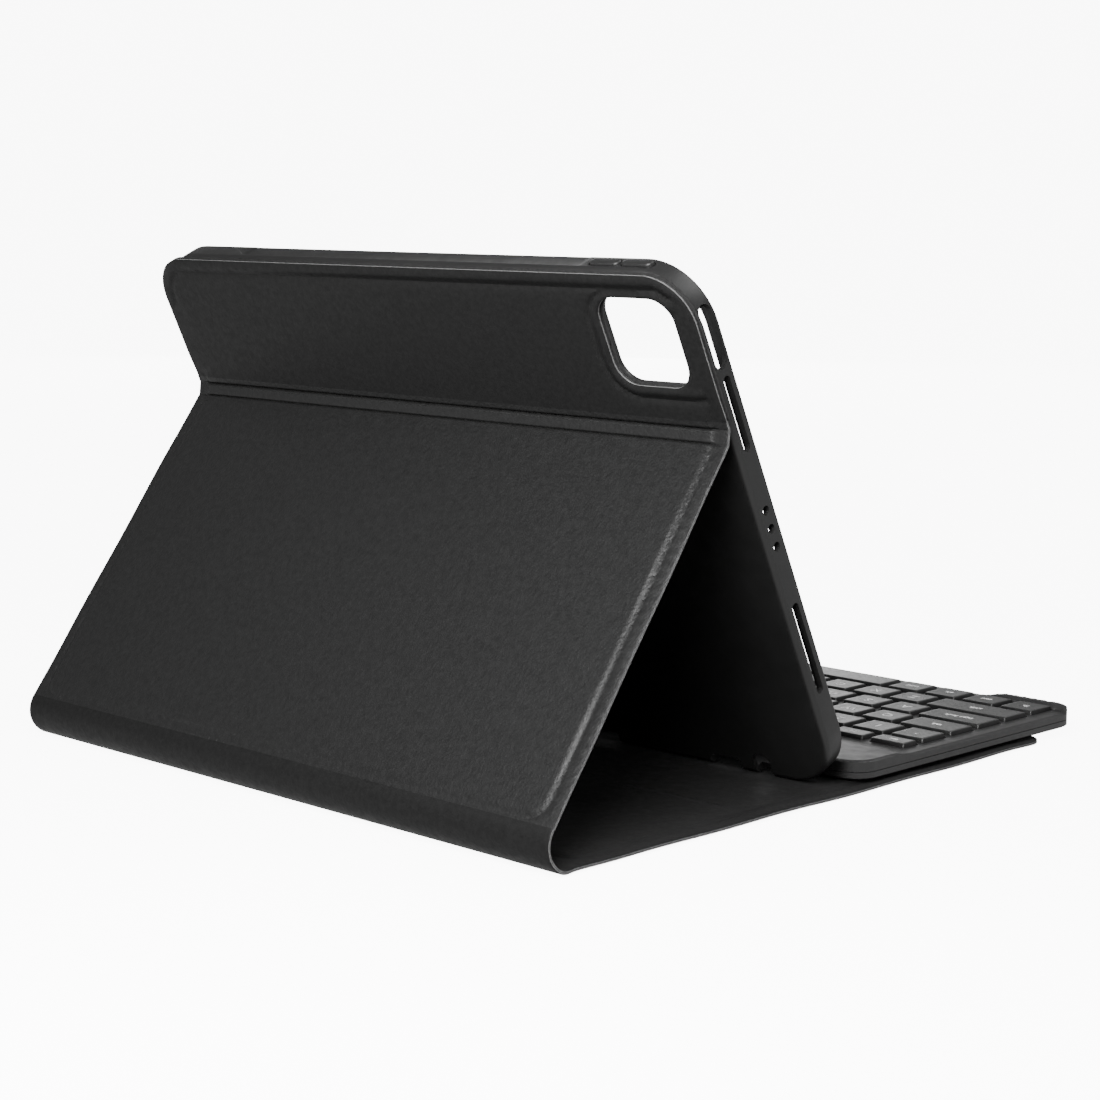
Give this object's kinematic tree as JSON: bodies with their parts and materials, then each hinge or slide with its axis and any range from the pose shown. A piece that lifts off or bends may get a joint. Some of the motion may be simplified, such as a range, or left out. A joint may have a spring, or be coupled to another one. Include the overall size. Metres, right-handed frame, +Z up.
{
  "type": "tablet keyboard case",
  "caption": "Folio keyboard case for an 11 inch tablet: a leather-look cover folds into a stand behind a moulded tray, with a lift-off keyboard on its base.",
  "frame": {"origin": "bottom centre of the standing case's bounding box, on the table", "axes": "+Z up, +X across the case to the typist's right, -Y towards the typist, +Y towards the spine"},
  "size_m": [0.254, 0.273, 0.1716],
  "materials": {
    "leather": "fine pebble grain, matte",
    "lining": "microfibre, matte",
    "board": "hidden stiffener",
    "soft_touch": "soft-touch satin",
    "housing": "satin moulded",
    "keycap": "satin moulded",
    "steel": "brushed",
    "magnet": "nickel plated",
    "membrane": "film",
    "circuit": "solder mask",
    "cell": "foil pouch",
    "foot_rubber": "matte",
    "lens": "clear"
  },
  "bodies": {
    "base": {"base_cover": "leather", "base_board": "board", "base_lining": "lining", "base_magnet_left": "magnet", "base_magnet_right": "magnet"},
    "spine_lower": {"spine_lower": "leather"},
    "spine_upper": {"spine_upper": "leather"},
    "prop": {"prop_cover": "leather", "prop_board": "board", "prop_lining": "lining"},
    "tray": {"flap_cover": "leather", "flap_board": "board", "hinge_strip": "leather", "tray_shell": "soft_touch"},
    "volume_up_button": {"volume_up_button": "soft_touch"},
    "volume_down_button": {"volume_down_button": "soft_touch"},
    "keyboard": {"keyboard_bottom_cover": "housing", "keyboard_top_frame": "housing", "status_led": "lens", "key_backplate": "steel", "switch_membrane": "membrane", "battery": "cell", "controller_board": "circuit", "charge_port": "steel", "keyboard_magnet_left": "magnet", "keyboard_magnet_right": "magnet", "foot_front_left": "foot_rubber", "foot_front_right": "foot_rubber", "foot_rear_left": "foot_rubber", "foot_rear_right": "foot_rubber"},
    "power_switch": {"power_switch": "keycap"},
    "fn_key": {"fn_key": "keycap"},
    "control_key": {"control_key": "keycap"},
    "option_left_key": {"option_left_key": "keycap"},
    "command_left_key": {"command_left_key": "keycap"},
    "space_key": {"space_key": "keycap"},
    "command_right_key": {"command_right_key": "keycap"},
    "option_right_key": {"option_right_key": "keycap"},
    "arrow_left_key": {"arrow_left_key": "keycap"},
    "arrow_down_key": {"arrow_down_key": "keycap"},
    "arrow_up_key": {"arrow_up_key": "keycap"},
    "arrow_right_key": {"arrow_right_key": "keycap"},
    "shift_left_key": {"shift_left_key": "keycap"},
    "bottom_letter_keys": {"bottom_letter_keys": "keycap"},
    "shift_right_key": {"shift_right_key": "keycap"},
    "caps_lock_key": {"caps_lock_key": "keycap"},
    "home_letter_keys": {"home_letter_keys": "keycap"},
    "return_key": {"return_key": "keycap"},
    "tab_key": {"tab_key": "keycap"},
    "top_letter_keys": {"top_letter_keys": "keycap"},
    "backslash_key": {"backslash_key": "keycap"},
    "number_keys": {"number_keys": "keycap"},
    "delete_key": {"delete_key": "keycap"},
    "escape_key": {"escape_key": "keycap"},
    "function_keys": {"function_keys": "keycap"},
    "lock_key": {"lock_key": "keycap"}
  },
  "joints": [
    {"name": "stand_unfold", "type": "hinge", "parent": "base", "child": "spine_lower", "pos_m": [0, 0.12795, 0.00115], "axis": [-1, 0, 0], "range_deg": [0, 22.7]},
    {"name": "spine_fold", "type": "hinge", "parent": "spine_lower", "child": "spine_upper", "pos_m": [0, 0.13598, 0.00451], "axis": [-1, 0, 0], "range_deg": [0, 71.1]},
    {"name": "spine_prop_fold", "type": "hinge", "parent": "spine_upper", "child": "prop", "pos_m": [0, 0.13538, 0.01349], "axis": [-1, 0, 0], "range_deg": [0, 31.6]},
    {"name": "prop_tray_fold", "type": "hinge", "parent": "prop", "child": "tray", "pos_m": [0, 0.06065, 0.11864], "axis": [1, 0, 0], "range_deg": [0, 61]},
    {"name": "volume_up_press", "type": "slide", "parent": "tray", "child": "volume_up_button", "axis": [0, -0.4321, -0.9018], "range_m": [0, 0.0006], "stiffness_N_per_m": 1500, "springref_m": -0.0003},
    {"name": "volume_down_press", "type": "slide", "parent": "tray", "child": "volume_down_button", "axis": [0, -0.4321, -0.9018], "range_m": [0, 0.0006], "stiffness_N_per_m": 1500, "springref_m": -0.0003},
    {"name": "keyboard_lift", "type": "slide", "parent": "base", "child": "keyboard", "axis": [0, 0, 1], "range_m": [0, 0.175]},
    {"name": "power_switch_slide", "type": "slide", "parent": "keyboard", "child": "power_switch", "axis": [1, 0, 0], "range_m": [0, 0.003]},
    {"name": "fn_press", "type": "slide", "parent": "keyboard", "child": "fn_key", "axis": [0, 0, -1], "range_m": [0, 0.0013], "stiffness_N_per_m": 400, "springref_m": -0.0004},
    {"name": "control_press", "type": "slide", "parent": "keyboard", "child": "control_key", "axis": [0, 0, -1], "range_m": [0, 0.0013], "stiffness_N_per_m": 400, "springref_m": -0.0004},
    {"name": "option_left_press", "type": "slide", "parent": "keyboard", "child": "option_left_key", "axis": [0, 0, -1], "range_m": [0, 0.0013], "stiffness_N_per_m": 400, "springref_m": -0.0004},
    {"name": "command_left_press", "type": "slide", "parent": "keyboard", "child": "command_left_key", "axis": [0, 0, -1], "range_m": [0, 0.0013], "stiffness_N_per_m": 400, "springref_m": -0.0004},
    {"name": "space_press", "type": "slide", "parent": "keyboard", "child": "space_key", "axis": [0, 0, -1], "range_m": [0, 0.0013], "stiffness_N_per_m": 400, "springref_m": -0.0004},
    {"name": "command_right_press", "type": "slide", "parent": "keyboard", "child": "command_right_key", "axis": [0, 0, -1], "range_m": [0, 0.0013], "stiffness_N_per_m": 400, "springref_m": -0.0004},
    {"name": "option_right_press", "type": "slide", "parent": "keyboard", "child": "option_right_key", "axis": [0, 0, -1], "range_m": [0, 0.0013], "stiffness_N_per_m": 400, "springref_m": -0.0004},
    {"name": "arrow_left_press", "type": "slide", "parent": "keyboard", "child": "arrow_left_key", "axis": [0, 0, -1], "range_m": [0, 0.0013], "stiffness_N_per_m": 400, "springref_m": -0.0004},
    {"name": "arrow_down_press", "type": "slide", "parent": "keyboard", "child": "arrow_down_key", "axis": [0, 0, -1], "range_m": [0, 0.0013], "stiffness_N_per_m": 400, "springref_m": -0.0004},
    {"name": "arrow_up_press", "type": "slide", "parent": "keyboard", "child": "arrow_up_key", "axis": [0, 0, -1], "range_m": [0, 0.0013], "stiffness_N_per_m": 400, "springref_m": -0.0004},
    {"name": "arrow_right_press", "type": "slide", "parent": "keyboard", "child": "arrow_right_key", "axis": [0, 0, -1], "range_m": [0, 0.0013], "stiffness_N_per_m": 400, "springref_m": -0.0004},
    {"name": "shift_left_press", "type": "slide", "parent": "keyboard", "child": "shift_left_key", "axis": [0, 0, -1], "range_m": [0, 0.0013], "stiffness_N_per_m": 400, "springref_m": -0.0004},
    {"name": "bottom_letter_row_press", "type": "slide", "parent": "keyboard", "child": "bottom_letter_keys", "axis": [0, 0, -1], "range_m": [0, 0.0013], "stiffness_N_per_m": 400, "springref_m": -0.0004},
    {"name": "shift_right_press", "type": "slide", "parent": "keyboard", "child": "shift_right_key", "axis": [0, 0, -1], "range_m": [0, 0.0013], "stiffness_N_per_m": 400, "springref_m": -0.0004},
    {"name": "caps_lock_press", "type": "slide", "parent": "keyboard", "child": "caps_lock_key", "axis": [0, 0, -1], "range_m": [0, 0.0013], "stiffness_N_per_m": 400, "springref_m": -0.0004},
    {"name": "home_letter_row_press", "type": "slide", "parent": "keyboard", "child": "home_letter_keys", "axis": [0, 0, -1], "range_m": [0, 0.0013], "stiffness_N_per_m": 400, "springref_m": -0.0004},
    {"name": "return_press", "type": "slide", "parent": "keyboard", "child": "return_key", "axis": [0, 0, -1], "range_m": [0, 0.0013], "stiffness_N_per_m": 400, "springref_m": -0.0004},
    {"name": "tab_press", "type": "slide", "parent": "keyboard", "child": "tab_key", "axis": [0, 0, -1], "range_m": [0, 0.0013], "stiffness_N_per_m": 400, "springref_m": -0.0004},
    {"name": "top_letter_row_press", "type": "slide", "parent": "keyboard", "child": "top_letter_keys", "axis": [0, 0, -1], "range_m": [0, 0.0013], "stiffness_N_per_m": 400, "springref_m": -0.0004},
    {"name": "backslash_press", "type": "slide", "parent": "keyboard", "child": "backslash_key", "axis": [0, 0, -1], "range_m": [0, 0.0013], "stiffness_N_per_m": 400, "springref_m": -0.0004},
    {"name": "number_row_press", "type": "slide", "parent": "keyboard", "child": "number_keys", "axis": [0, 0, -1], "range_m": [0, 0.0013], "stiffness_N_per_m": 400, "springref_m": -0.0004},
    {"name": "delete_press", "type": "slide", "parent": "keyboard", "child": "delete_key", "axis": [0, 0, -1], "range_m": [0, 0.0013], "stiffness_N_per_m": 400, "springref_m": -0.0004},
    {"name": "escape_press", "type": "slide", "parent": "keyboard", "child": "escape_key", "axis": [0, 0, -1], "range_m": [0, 0.0013], "stiffness_N_per_m": 400, "springref_m": -0.0004},
    {"name": "function_row_press", "type": "slide", "parent": "keyboard", "child": "function_keys", "axis": [0, 0, -1], "range_m": [0, 0.0013], "stiffness_N_per_m": 400, "springref_m": -0.0004},
    {"name": "lock_press", "type": "slide", "parent": "keyboard", "child": "lock_key", "axis": [0, 0, -1], "range_m": [0, 0.0013], "stiffness_N_per_m": 400, "springref_m": -0.0004}
  ],
  "couplings": [
    {"joint": "spine_fold", "follows": "stand_unfold", "ratio": 3.1321},
    {"joint": "spine_prop_fold", "follows": "stand_unfold", "ratio": 1.392},
    {"joint": "prop_tray_fold", "follows": "stand_unfold", "ratio": 2.6872}
  ]
}
